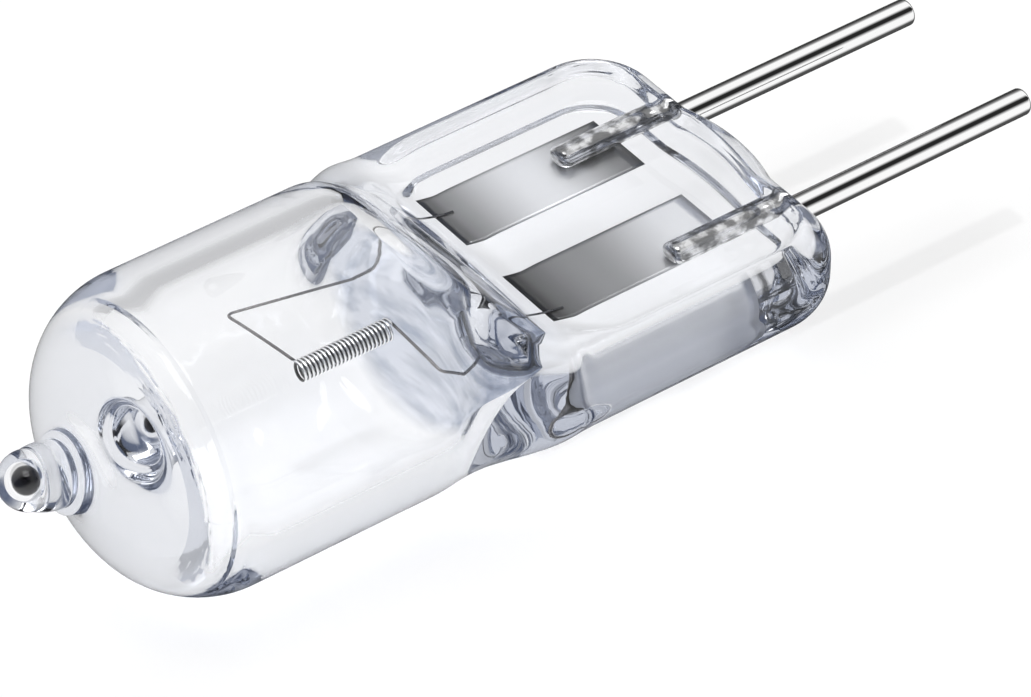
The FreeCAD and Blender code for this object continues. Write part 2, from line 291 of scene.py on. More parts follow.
def recess_distance(x, y):
    """Distance in plan from the recess floor's outline, positive outside it."""
    middle = (RECESS_START - RECESS_BORDER) / 2
    half_long = (-RECESS_BORDER - RECESS_START) / 2
    over_x = abs(x - middle) - half_long + RECESS_CORNER
    over_y = abs(y) - (HALF_WIDTH - RECESS_BORDER) + RECESS_CORNER
    outside = math.hypot(max(over_x, 0.0), max(over_y, 0.0))
    return outside + min(max(over_x, over_y), 0.0) - RECESS_CORNER


def soft_min(a, b, blend):
    share = max(blend - abs(a - b), 0.0) / blend
    return min(a, b) - share * share * blend / 4


def soft_max(a, b, blend):
    return -soft_min(-a, -b, blend)


def with_recess(x, y, z):
    """Height of the broad face, lowered where its shallow field is.

    Towards the bulb the field's wall is gentler and its brink is softer.
    """
    if z < HALF_WEB - RECESS_MARGIN:
        return z
    near_bulb = ease((RECESS_START + RECESS_SOFT_REACH - x) / RECESS_SOFT_REACH)
    soft_end = near_bulb * (1 - ease((abs(y) - RECESS_SOFT_HALF) / RECESS_SOFT_FADE))
    steep = lerp(1.0, RECESS_START_SLOPE, soft_end)
    wall = HALF_WEB + recess_distance(x, y) * steep
    ramp = soft_max(HALF_WEB, wall, RECESS_FOOT + RECESS_SOFT_FOOT * soft_end)
    return soft_min(z, ramp, RECESS_SHARP_BRINK + RECESS_BRINK * soft_end)


def swell(y):
    """How far the foot stands out between the pins."""
    if abs(y) >= FOOT_BULGE_HALF:
        return 0.0
    radius = (FOOT_BULGE_HALF ** 2 + FOOT_BULGE ** 2) / (2 * FOOT_BULGE)
    return math.sqrt(radius ** 2 - y ** 2) - radius + FOOT_BULGE


def press_ring(x):
    """Section of the press, with its soft edge in plan and its recess."""
    over = max(x + PLAN_CORNER, 0.0)
    top_angle = math.pi / 2
    if x > -EDGE_ROUND:
        top_angle = math.acos(max(min((EDGE_ROUND + x) / EDGE_ROUND, 1.0), 0.0))
    points = []
    corner_y = HALF_WIDTH - PLAN_CORNER
    for kind, part in QUARTER:
        angle = part * top_angle if kind == "corner" else (0.0 if kind == "side" else top_angle)
        inset = EDGE_ROUND * (1 - math.cos(angle))
        edge_y = corner_y + math.sqrt(max((PLAN_CORNER - inset) ** 2 - over ** 2, 0.0))
        z = EDGE_FLAT + EDGE_ROUND * math.sin(angle)
        if kind == "side":
            points.append((edge_y, EDGE_FLAT * part))
        elif kind == "corner":
            points.append((edge_y, z))
        else:
            points.append((edge_y * (1 - part), z))
    ring = full_ring([(y, with_recess(x, y, z)) for y, z in points])
    share = ease((x + FOOT_SWELL_REACH) / FOOT_SWELL_REACH)
    return [(x + share * swell(y), y, z) for y, z in ring]


def dome_points(start, radius, knuckle, crown, steps):
    """(x, r) points of a dome's profile, from the tube to the apex."""
    turn = math.asin((radius - knuckle) / (crown - knuckle))
    crown_x = start + (crown - knuckle) * math.cos(turn)
    points = []
    for angle in spread(math.pi / 2, turn, steps):
        points.append((start - knuckle * math.cos(angle), radius - knuckle + knuckle * math.sin(angle)))
    for angle in spread(turn, 0.0, steps // 2) + [0.0]:
        points.append((crown_x - crown * math.cos(angle), crown * math.sin(angle)))
    return points


def round_ring(x, radius):
    return [(x, y, z) for y, z in full_ring(round_quarter(radius))]


TIP_AXIS = Vector((-math.cos(TIP_TILT), 0, math.sin(TIP_TILT)))
TIP_SIDE = Vector((math.sin(TIP_TILT), 0, math.cos(TIP_TILT)))


def tip_ring(height, radius):
    """Ring round the exhaust tip's own axis."""
    centre = Vector((TIP_ROOT, 0, TIP_OFFSET)) + TIP_AXIS * height
    circle = full_ring(round_quarter(radius))
    return [tuple(centre + Vector((0, y, 0)) + TIP_SIDE * z) for y, z in circle]


def flare_rings(dome_x, dome_radius, steps):
    """Rings that lead from the dome's crown up to the neck of the tip, without an edge."""
    base = round_ring(dome_x, dome_radius)
    neck = tip_ring(TIP_NECK_HEIGHT - 0.1, TIP_NECK_RADIUS)
    lean = dome_radius / DOME_CROWN
    rings = []
    for step in range(1, steps + 1):
        share = step / steps
        ring = []
        for low, high in zip(base, neck):
            low = Vector(low)
            high = Vector(high)
            inward = Vector((-lean, -low.y / dome_radius, -low.z / dome_radius)).normalized()
            reach = (high - low).length
            first = low + inward * reach * FLARE_PULL_DOME
            second = high - TIP_AXIS * reach * FLARE_PULL_NECK
            ring.append(tuple(low * (1 - share) ** 3 + first * 3 * share * (1 - share) ** 2
                              + second * 3 * share ** 2 * (1 - share) + high * share ** 3))
        rings.append(ring)
    return rings


def outer_rings():
    """Rings of the whole outside, from the tip's end to the foot."""
    rings = []
    for step in range(14):
        angle = math.pi / 2 * step / 14
        height = TIP_BALL_HEIGHT + TIP_BALL_RADIUS * math.cos(angle)
        radius = TIP_BALL_RADIUS * math.sin(angle)
        rings.append([tip_ring(height, 0.0)[0]] if step == 0 else tip_ring(height, radius))
    for step in range(7):
        share = step / 6
        height = lerp(TIP_BALL_HEIGHT, TIP_CREASE_HEIGHT + 0.06, share)
        belly = TIP_DROP_BELLY * share * (1 - share)
        radius = lerp(TIP_BALL_RADIUS, TIP_CREASE_RADIUS, share) + belly
        rings.append(tip_ring(height, radius))
    rings.append(tip_ring(TIP_CREASE_HEIGHT, TIP_CREASE_RADIUS + 0.01))
    rings.append(tip_ring(TIP_CREASE_HEIGHT - 0.03, TIP_CREASE_RADIUS + 0.08))
    rings.append(tip_ring(TIP_CREASE_HEIGHT - 0.04, TIP_NECK_RADIUS - 0.16))
    rings.append(tip_ring(TIP_CREASE_HEIGHT - 0.07, TIP_NECK_RADIUS - 0.06))
    rings.append(tip_ring(TIP_NECK_HEIGHT, TIP_NECK_RADIUS - 0.01))
    dome = dome_points(DOME_START, BULB_RADIUS, DOME_KNUCKLE, DOME_CROWN, 24)
    dome = [point for point in dome if point[1] > TIP_FLARE_RADIUS]
    rings += flare_rings(dome[-1][0], dome[-1][1], 14)[::-1]
    for x, radius in dome[::-1]:
        rings.append(round_ring(x, radius))
    rings += [round_ring(x, BULB_RADIUS) for x in spread(DOME_START, TUBE_END, 8)[1:]]
    for x in spread(TUBE_END, CLOSE_RINGS_START, 44):
        rings.append([(x, y, z) for y, z in squeezed_ring(x)])
    for first, last, count in ((CLOSE_RINGS_START, CLOSE_RINGS_END, 30), (CLOSE_RINGS_END, WIDE_RINGS_END, 9),
                               (WIDE_RINGS_END, -PLAN_CORNER, 5)):
        rings += [press_or_shoulder(x) for x in spread(first, last, count)]
    inner_corner = PLAN_CORNER - EDGE_ROUND
    for step in range(14):
        rings.append(press_ring(-PLAN_CORNER + inner_corner * math.sin(math.pi / 2 * step / 14)))
    for step in range(19):
        rings.append(press_ring(-EDGE_ROUND * (1 - math.sin(math.pi / 2 * step / 18))))
    return rings


def squeezed_ring(x):
    """(y, z) points of the shoulder's section, with the end of the shallow field."""
    ring = full_ring(squeezed_quarter(x))
    return [(y, math.copysign(with_recess(x, y, abs(z)), z)) for y, z in ring]


def press_or_shoulder(x):
    if x < PRESS_START:
        return [(x, y, z) for y, z in squeezed_ring(x)]
    return press_ring(x)


def cavity_height(x):
    """Half height of the cavity: full in the bulb, then pinched to a lens-shaped end."""
    brink = CAVITY_BOTTOM - CAVITY_END_ROUND
    if x >= brink:
        return CAVITY_END_HEIGHT * math.sqrt(max(1 - ((x - brink) / CAVITY_END_ROUND) ** 2, 0.0))
    share = (x - CAVITY_BOTTOM + CAVITY_TAPER) / (CAVITY_TAPER - CAVITY_END_ROUND)
    belly = CAVITY_TAPER_BELLY * max(share, 0.0) * (1 - share)
    return soft_min(CAVITY_RADIUS, lerp(BULB_RADIUS, CAVITY_END_HEIGHT, share) + belly, CAVITY_TAPER_BLEND)


def cavity_rings():
    """Rings of the gas space, from its dome, with a low bead on the knuckle, to its pinched end."""
    dome = dome_points(CAVITY_START, CAVITY_RADIUS, CAVITY_KNUCKLE, CAVITY_CROWN, KNUCKLE_STEPS)
    rings = []
    for place, (x, radius) in reversed(list(enumerate(dome))):
        if radius < 0.01:
            rings.append([(x, 0.0, 0.0)])
            continue
        push = KNUCKLE_BEAD * math.sin(math.pi * min(place / KNUCKLE_STEPS, 1.0)) ** 2 * KNUCKLE_BEAD_LEAN
        wider = 1 + push / radius
        rings.append([(x - push, y * wider, z * wider) for _, y, z in round_ring(x, radius)])
    taper_start = CAVITY_BOTTOM - CAVITY_TAPER
    brink = CAVITY_BOTTOM - CAVITY_END_ROUND
    stations = spread(CAVITY_START, taper_start - 0.6, 6)[1:] + spread(taper_start - 0.6, brink, 34)
    stations += [brink + CAVITY_END_ROUND * math.sin(math.pi / 2 * step / 18) for step in range(19)]
    for x in stations:
        height = cavity_height(x)
        pinch = ease((x - taper_start) / CAVITY_TAPER)
        ring = []
        for y, z in full_ring(round_quarter(1.0)):
            reach = abs(z) ** (1 + 0.8 * pinch) * height
            lag = pinch * (CAVITY_END_BOW * y * y + CAVITY_END_SKEW * y)
            ring.append((x - lag, y * CAVITY_RADIUS, math.copysign(reach, z)))
        rings.append(ring)
    return rings


def void_rings():
    """A guessed bubble in the exhaust tip, where the photo shows a dark round spot."""
    rings = []
    steps = 16
    for step in range(steps + 1):
        angle = math.pi * step / steps
        height = TIP_BALL_HEIGHT + VOID_MIDDLE - VOID_HALF_LENGTH * math.cos(angle)
        radius = VOID_RADIUS * math.sin(angle)
        rings.append([tip_ring(height, 0.0)[0]] if step in (0, steps) else tip_ring(height, radius))
    return rings


# Wire

def bent(points, radius, steps):
    """The points of a bent wire, with each inner corner replaced by points on an arc."""
    run = [points[0]]
    for before, corner, after in zip(points, points[1:], points[2:]):
        arriving = (corner - before).normalized()
        leaving = (after - corner).normalized()
        half_turn = arriving.angle(leaving) / 2
        start = corner - arriving * radius * math.tan(half_turn)
        end = corner + leaving * radius * math.tan(half_turn)
        for step in range(steps + 1):
            share = step / steps
            run.append(start * (1 - share) ** 2 + corner * 2 * share * (1 - share) + end * share ** 2)
    run.append(points[-1])
    return run


def coil_point(angle):
    """Middle of the wire at an angle of the coil, which starts just before angle 0."""
    x = COIL_FRONT + COIL_PITCH * (angle + FRONT_EXIT) / (2 * math.pi)
    return Vector((x, -COIL_RADIUS * math.sin(angle), COIL_RADIUS * math.cos(angle)))


def leg_run(rear):
    """Points of a leg, from the coil's end along its last turn's heading, down to its foil."""
    if rear:
        side, tilt, reach, seat = -1, REAR_EXIT, REAR_REACH, REAR_SEAT
    else:
        side, tilt, reach, seat = 1, FRONT_EXIT, FRONT_REACH, FRONT_SEAT
    start = coil_point(2 * math.pi * COIL_TURNS + REAR_EXIT if rear else -FRONT_EXIT)
    advance = COIL_PITCH / (2 * math.pi)
    across = side * COIL_RADIUS * math.cos(tilt)
    heading = Vector((-side * advance, across, -COIL_RADIUS * math.sin(tilt)))
    level = FOIL_TOP + WELD_GAP + WIRE_RADIUS
    bend = start + heading * ((reach - abs(start.y)) / abs(heading.y))
    landing = Vector((LEG_LANDING, side * seat, level))
    end = Vector((FOIL_START + LEG_OVERLAP, side * seat, level))
    return bent([start, bend, landing, end], LEG_BEND, 6)


def wire_run():
    """Points of the whole wire: front leg, coil, rear leg."""
    last = 2 * math.pi * COIL_TURNS + REAR_EXIT
    first = -FRONT_EXIT
    steps = COIL_TURNS * COIL_STEPS
    coil = [coil_point(lerp(first, last, step / steps)) for step in range(1, steps)]
    return leg_run(False)[::-1] + coil + leg_run(True)


def wire_mesh(name, run, radius, sides=9):
    """Round wire along a run of points, with flat ends."""
    heading = (run[1] - run[0]).normalized()
    around = heading.cross(Vector((0, 0, 1))).normalized()
    rings = [[tuple(run[0])]]
    for place, here in enumerate(run):
        before = run[max(place - 1, 0)]
        after = run[min(place + 1, len(run) - 1)]
        heading = (after - before).normalized()
        around = (around - heading * around.dot(heading)).normalized()
        across = heading.cross(around)
        ring = []
        for side in range(sides):
            angle = 2 * math.pi * side / sides
            ring.append(tuple(here + (around * math.cos(angle) + across * math.sin(angle)) * radius))
        rings.append(ring)
    rings.append([tuple(run[-1])])
    return ring_mesh(name, rings)


def pin_mesh(name, side):
    """Contact pin: a rounded free end, a neck at the foot and a stouter stretch in the glass."""
    profile = [(-PIN_DEPTH, 0.0)]
    for start, inward, rounding in ((-PIN_DEPTH, 1, PIN_INNER_ROUND), (PIN_LENGTH, -1, PIN_FREE_ROUND)):
        arc = []
        for step in range(9):
            angle = math.pi / 2 * step / 8
            arc.append((start + inward * rounding * (1 - math.cos(angle)),
                        PIN_RADIUS - rounding + rounding * math.sin(angle)))
        if inward > 0:
            profile += [(x, radius + PIN_SEAL_RADIUS - PIN_RADIUS) for x, radius in arc]
            sealed = spread(-4.6, PIN_NECK_START, 6) + [PIN_NECK_START]
            profile += [(x, PIN_SEAL_RADIUS) for x in sealed]
        else:
            profile += [(lerp(PIN_NECK_END, 9.8, i / 12), PIN_RADIUS) for i in range(13)] + arc[::-1]
    profile.append((PIN_LENGTH, 0.0))
    rings = []
    for x, radius in profile:
        if radius == 0.0:
            rings.append([(x, side * HALF_PITCH, 0.0)])
            continue
        ring = []
        for step in range(48):
            angle = 2 * math.pi * step / 48
            ring.append((x, side * HALF_PITCH + radius * math.cos(angle), radius * math.sin(angle)))
        rings.append(ring)
    return ring_mesh(name, rings)


def foil_mesh(name, side):
    """Sealing foil, thinner towards its long edges."""
    middle = FOIL_SHIFT + side * FOIL_SPACING / 2
    upper = []
    for i in range(17):
        share = lerp(-1, 1, i / 16)
        half = (FOIL_HALF_THICKNESS - FOIL_HALF_EDGE) * (1 - share ** 2) + FOIL_HALF_EDGE
        upper.append((middle + share * FOIL_WIDTH / 2, half))
    rings = [[(FOIL_START, middle, FOIL_LEVEL)]]
    for x in [lerp(FOIL_START, FOIL_END, i / 16) for i in range(17)]:
        rings.append([(x, y, FOIL_LEVEL + half) for y, half in upper]
                     + [(x, y, FOIL_LEVEL - half) for y, half in reversed(upper)])
    rings.append([(FOIL_END, middle, FOIL_LEVEL)])
    return ring_mesh(name, rings)


# Materials

def material(name):
    """A new material, its node tree and its shader."""
    made = bpy.data.materials.new(name)
    made.use_nodes = True
    tree = made.node_tree
    shader = tree.nodes["Principled BSDF"]
    return made, tree, shader


def node(tree, kind, **inputs):
    """A new node with the values of the named inputs set."""
    made = tree.nodes.new(kind)
    for key, value in inputs.items():
        made.inputs[key.replace("_", " ")].default_value = value
    return made


def math_node(tree, operation, *sources):
    """Math node fed by numbers or by other nodes' outputs."""
    made = tree.nodes.new("ShaderNodeMath")
    made.operation = operation
    for socket, source in zip(made.inputs, sources):
        if isinstance(source, (int, float)):
            socket.default_value = source
        else:
            tree.links.new(source, socket)
    return made.outputs[0]


def mixed_colour(tree, share, first, second):
    """Colour between two colours or other nodes' outputs, at a share given by a node's output."""
    made = tree.nodes.new("ShaderNodeMixRGB")
    for socket, source in zip(made.inputs, (share, first, second)):
        if isinstance(source, tuple):
            socket.default_value = (*source, 1)
        else:
            tree.links.new(source, socket)
    return made.outputs["Color"]


def parts_of(tree, coordinates):
    """X, Y and Z of one of the Texture Coordinate node's outputs."""
    source = tree.nodes.new("ShaderNodeTexCoord")
    parts = tree.nodes.new("ShaderNodeSeparateXYZ")
    tree.links.new(source.outputs[coordinates], parts.inputs[0])
    return parts.outputs


def distance_from_axis(tree, y, z):
    """Distance from the X axis, in metres."""
    squares = [math_node(tree, "MULTIPLY", part, part) for part in (y, z)]
    return math_node(tree, "SQRT", math_node(tree, "ADD", *squares))


def band(tree, value, first, last, fade):
    """1 between two places in millimetres, fading to 0 outside them."""
    rise = node(tree, "ShaderNodeMapRange", From_Min=(first - fade) * 0.001, From_Max=first * 0.001)
    fall = node(tree, "ShaderNodeMapRange", From_Min=last * 0.001, From_Max=(last + fade) * 0.001)
    fall.inputs["To Min"].default_value = 1.0
    fall.inputs["To Max"].default_value = 0.0
    for edge in (rise, fall):
        tree.links.new(value, edge.inputs["Value"])
    return math_node(tree, "MULTIPLY", rise.outputs["Result"], fall.outputs["Result"])


# Arc of the knuckle that has ripples: direction across the axis, and cosines where they start and are full
RIPPLE_SIDE_Y = -0.766
RIPPLE_SIDE_Z = 0.643
RIPPLE_ARC = (0.05, 0.35)
RIPPLE_DEPTH = 0.00008
# Stretches along X of the ripples and the painted shade: first and last place and fade, in mm
RIPPLE_STRETCH = (CAVITY_START - 1.15, CAVITY_START - 0.55, 0.15)
PINCH_SHADE_STRETCH = (CAVITY_BOTTOM - 1.7, CAVITY_BOTTOM + 1.0, 0.5)
PINCH_SHADE_STREAKS = (1800, 250, 1800)

QUARTZ_IOR = 1.458
QUARTZ_TINT = (0.30, 0.36, 0.50)
QUARTZ_DENSITY = 55.0
QUARTZ_SHADOW = (0.96, 0.965, 0.98)


def knuckle_ripples(tree, shader, x, y, z, inner):
    """Bump of the ripples on one arc of the gas space's knuckle, a guess from the photo."""
    radius = distance_from_axis(tree, y, z)
    rolled = tree.nodes.new("ShaderNodeCombineXYZ")
    tree.links.new(math_node(tree, "MULTIPLY", x, 1000.0), rolled.inputs["X"])
    tree.links.new(math_node(tree, "MULTIPLY", radius, 1000.0), rolled.inputs["Y"])
    tree.links.new(math_node(tree, "ARCTAN2", z, y), rolled.inputs["Z"])
    ripple = node(tree, "ShaderNodeTexNoise", Scale=2.2, Detail=2.0)
    tree.links.new(rolled.outputs[0], ripple.inputs["Vector"])
    knuckle = band(tree, x, *RIPPLE_STRETCH)
    knuckle = math_node(tree, "MULTIPLY", knuckle, inner)
    lean = math_node(tree, "ADD", math_node(tree, "MULTIPLY", y, RIPPLE_SIDE_Y),
                     math_node(tree, "MULTIPLY", z, RIPPLE_SIDE_Z))
    arc = node(tree, "ShaderNodeMapRange", From_Min=RIPPLE_ARC[0], From_Max=RIPPLE_ARC[1])
    tree.links.new(math_node(tree, "DIVIDE", lean, radius), arc.inputs["Value"])
    knuckle = math_node(tree, "MULTIPLY", knuckle, arc.outputs["Result"])
    bump = node(tree, "ShaderNodeBump", Strength=1.0, Distance=RIPPLE_DEPTH)
    tree.links.new(math_node(tree, "MULTIPLY", ripple.outputs["Fac"], knuckle), bump.inputs["Height"])
    tree.links.new(bump.outputs["Normal"], shader.inputs["Normal"])


def pinched_painted_shade(tree, x, inner):
    """Tint of the streaky painted shade at the gas space's pinched end, a guess from the photo."""
    stretched = tree.nodes.new("ShaderNodeMapping")
    stretched.inputs["Scale"].default_value = PINCH_SHADE_STREAKS
    streaks = node(tree, "ShaderNodeTexNoise", Scale=1.0, Detail=3.0)
    source = tree.nodes.new("ShaderNodeTexCoord")
    tree.links.new(source.outputs["Object"], stretched.inputs["Vector"])
    tree.links.new(stretched.outputs["Vector"], streaks.inputs["Vector"])
    streak_mix = node(tree, "ShaderNodeMapRange", From_Min=0.35, From_Max=0.6)
    tree.links.new(streaks.outputs["Fac"], streak_mix.inputs["Value"])
    # Painted shade: streaks of dark and pale slate on the inner face at the pinched end
    painted_shade = mixed_colour(tree, streak_mix.outputs["Result"], PINCH_SHADE_DARK, PINCH_SHADE_PALE)
    pinched = band(tree, x, *PINCH_SHADE_STRETCH)
    pinched = math_node(tree, "MULTIPLY", pinched, inner)
    return mixed_colour(tree, pinched, (1.0, 1.0, 1.0), painted_shade)


def ripples_and_painted_shade(tree, shader):
    """Looks of the inner faces, told apart by mark(): bump ripples on the knuckle, painted shade at the
    pinched end and in the bubble; the outside stays plain and clear.
    """
    x, y, z = parts_of(tree, "Object")
    face_kind = tree.nodes.new("ShaderNodeAttribute")
    face_kind.attribute_name = "face_kind"
    inner = math_node(tree, "MINIMUM", face_kind.outputs["Fac"], 1.0)
    knuckle_ripples(tree, shader, x, y, z, inner)
    inside = pinched_painted_shade(tree, x, inner)
    # Painted shade: the bubble's faces are near black
    is_bubble = math_node(tree, "GREATER_THAN", face_kind.outputs["Fac"], 1.5)
    tree.links.new(mixed_colour(tree, is_bubble, inside, BUBBLE_PAINTED_SHADE), shader.inputs["Base Color"])


def quartz():
    """Clear fused quartz, one material for all its faces, that lets the lamps' light through."""
    made, tree, shader = material("quartz_glass")
    shader.inputs["Base Color"].default_value = (1, 1, 1, 1)
    shader.inputs["Roughness"].default_value = 0.0
    shader.inputs["IOR"].default_value = QUARTZ_IOR
    shader.inputs["Transmission Weight"].default_value = 1.0
    ripples_and_painted_shade(tree, shader)
    through = tree.nodes.new("ShaderNodeBsdfTransparent")
    through.inputs["Color"].default_value = (*QUARTZ_SHADOW, 1)
    path = tree.nodes.new("ShaderNodeLightPath")
    mix = tree.nodes.new("ShaderNodeMixShader")
    output = tree.nodes["Material Output"]
    tree.links.new(path.outputs["Is Shadow Ray"], mix.inputs[0])
    tree.links.new(shader.outputs[0], mix.inputs[1])
    tree.links.new(through.outputs[0], mix.inputs[2])
    tree.links.new(mix.outputs[0], output.inputs["Surface"])
    tint = node(tree, "ShaderNodeVolumeAbsorption", Density=QUARTZ_DENSITY)
    tint.inputs["Color"].default_value = (*QUARTZ_TINT, 1)
    tree.links.new(tint.outputs[0], output.inputs["Volume"])
    return made


def metal(name, colour, roughness, scale, amount):
    """Metal with fine unevenness in its polish and in its colour, darker by up to a share of it."""
    made, tree, shader = material(name)
    shader.inputs["Metallic"].default_value = 1.0
    place = tree.nodes.new("ShaderNodeTexCoord")
    mapping = node(tree, "ShaderNodeMapping")
    mapping.inputs["Scale"].default_value = scale
    noise = node(tree, "ShaderNodeTexNoise", Scale=900.0, Detail=4.0)
    ramp = tree.nodes.new("ShaderNodeValToRGB")
    dark = tuple(channel * (1 - amount) for channel in colour)
    ramp.color_ramp.elements[0].position = 0.35
    ramp.color_ramp.elements[0].color = (*dark, 1)
    ramp.color_ramp.elements[1].position = 0.65
    ramp.color_ramp.elements[1].color = (*colour, 1)
    spread_out = node(tree, "ShaderNodeMapRange")
    spread_out.inputs["To Min"].default_value = roughness * 0.8
    spread_out.inputs["To Max"].default_value = roughness * 1.3
    tree.links.new(place.outputs["Object"], mapping.inputs["Vector"])
    tree.links.new(mapping.outputs["Vector"], noise.inputs["Vector"])
    tree.links.new(noise.outputs["Fac"], ramp.inputs["Fac"])
    tree.links.new(noise.outputs["Fac"], spread_out.inputs["Value"])
    tree.links.new(ramp.outputs["Color"], shader.inputs["Base Color"])
    tree.links.new(spread_out.outputs["Result"], shader.inputs["Roughness"])
    return made


TUNGSTEN = (0.30, 0.29, 0.29)
# Painted shade on the inner side of the coil's turns, and a painted highlight on their crests
COIL_PAINTED_SHADE = (0.10, 0.10, 0.10)
COIL_PAINTED_HIGHLIGHT = (1.0, 1.0, 1.0)


def drawn_tungsten():
    """Drawn wire, grey on the legs; on the coil, painted shade on the inner side of the turns and a painted
    highlight on their crests, as in the photo.
    """
    made = metal("tungsten_wire", TUNGSTEN, 0.25, (1, 1, 1), 0.2)
    tree = made.node_tree
    shader = tree.nodes["Principled BSDF"]
    _, y, z = parts_of(tree, "Object")
    radius = distance_from_axis(tree, y, z)
    # Painted highlight on the outer side of each turn, painted shade on the rest of the coil
    crest_highlight_share = band(tree, radius, COIL_RADIUS + WIRE_RADIUS * 0.55, COIL_RADIUS + WIRE_RADIUS, 0.025)
    plain = shader.inputs["Base Color"].links[0].from_socket
    coil = mixed_colour(tree, crest_highlight_share, COIL_PAINTED_SHADE, COIL_PAINTED_HIGHLIGHT)
    reach = node(tree, "ShaderNodeMapRange", From_Min=(COIL_RADIUS + 0.1) * 0.001)
    reach.inputs["From Max"].default_value = (COIL_RADIUS + 0.2) * 0.001
    tree.links.new(radius, reach.inputs["Value"])
    tone = mixed_colour(tree, reach.outputs["Result"], coil, plain)
    tree.links.new(tone, shader.inputs["Base Color"])
    return made


PIN_BRIGHT = (0.97, 0.97, 0.97)
MOTTLE_DARK = (0.22, 0.22, 0.22)
MOTTLE_PALE = (0.85, 0.85, 0.85)


def sealed_pin():
    """Bright drawn pin, mottled grey where the glass holds it, as in the photo."""
    made = metal("pin_metal", PIN_BRIGHT, 0.05, (0.2, 3, 3), 0.03)
    tree = made.node_tree
    shader = tree.nodes["Principled BSDF"]
    place = tree.nodes.new("ShaderNodeTexCoord")
    cloud = node(tree, "ShaderNodeTexNoise", Scale=1900.0, Detail=3.0)
    tree.links.new(place.outputs["Object"], cloud.inputs["Vector"])
    spots = node(tree, "ShaderNodeMapRange", From_Min=0.42, From_Max=0.58)
    tree.links.new(cloud.outputs["Fac"], spots.inputs["Value"])
    mottled = mixed_colour(tree, spots.outputs["Result"], MOTTLE_DARK, MOTTLE_PALE)
    sealed = band(tree, parts_of(tree, "Object")["X"], -PIN_DEPTH - 1.0, 0.0, 0.3)
    bright = shader.inputs["Base Color"].links[0].from_socket
    tree.links.new(mixed_colour(tree, sealed, bright, mottled), shader.inputs["Base Color"])
    return made


# Painted reflection on the foils' upper faces: grey bands along X, matched to the photo's tones: (mm, level)
LEFT_PAINTED_REFLECTION = ((-11.8, 0.08), (-10.4, 0.17), (-6.2, 1.0), (-3.0, 0.25), (-1.5, 0.08))
RIGHT_PAINTED_REFLECTION = ((-11.8, 0.04), (-10.4, 0.08), (-7.4, 0.35), (-3.6, 1.0), (-1.0, 0.9))
# Plain pale tone of the foils' undersides, which carry no painted reflection
FOIL_UNDERSIDE_PALE = (0.98, 0.98, 0.98)
PAINTED_REFLECTION_REACH = 12.0


def painted_reflection_level(tree, along, stops):
    """Level of the painted reflection at a place along X in metres."""
    ramp = tree.nodes.new("ShaderNodeValToRGB")
    ramp.color_ramp.interpolation = "EASE"
    share = math_node(tree, "MULTIPLY_ADD", along, 1000 / (2 * PAINTED_REFLECTION_REACH), 0.5)
    tree.links.new(share, ramp.inputs["Fac"])
    for _ in stops[1:-1]:
        ramp.color_ramp.elements.new(0.5)
    for element, (place, level) in zip(ramp.color_ramp.elements, stops):
        element.position = place / (2 * PAINTED_REFLECTION_REACH) + 0.5
        element.color = (level, level, level, 1)
    return ramp.outputs["Color"]


def rolled_foil():
    """Rolled foil with a painted reflection: soft grey bands across its upper face, laid along X, and a plain
    pale underside.
    """
    made, tree, shader = material("molybdenum_foil")
    shader.inputs["Metallic"].default_value = 1.0
    shader.inputs["Roughness"].default_value = 0.3
    along, across, _ = parts_of(tree, "Object")
    is_left = math_node(tree, "GREATER_THAN", across, FOIL_SHIFT * 0.001)
    # Painted reflection: each foil gets its own grey bands along X on its upper face
    painted_bands = mixed_colour(tree, is_left, painted_reflection_level(tree, along, RIGHT_PAINTED_REFLECTION), painted_reflection_level(tree, along, LEFT_PAINTED_REFLECTION))
    is_upper = math_node(tree, "GREATER_THAN", parts_of(tree, "Normal")["Z"], 0.0)
    tree.links.new(mixed_colour(tree, is_upper, FOIL_UNDERSIDE_PALE, painted_bands), shader.inputs["Base Color"])
    return made


# Stage

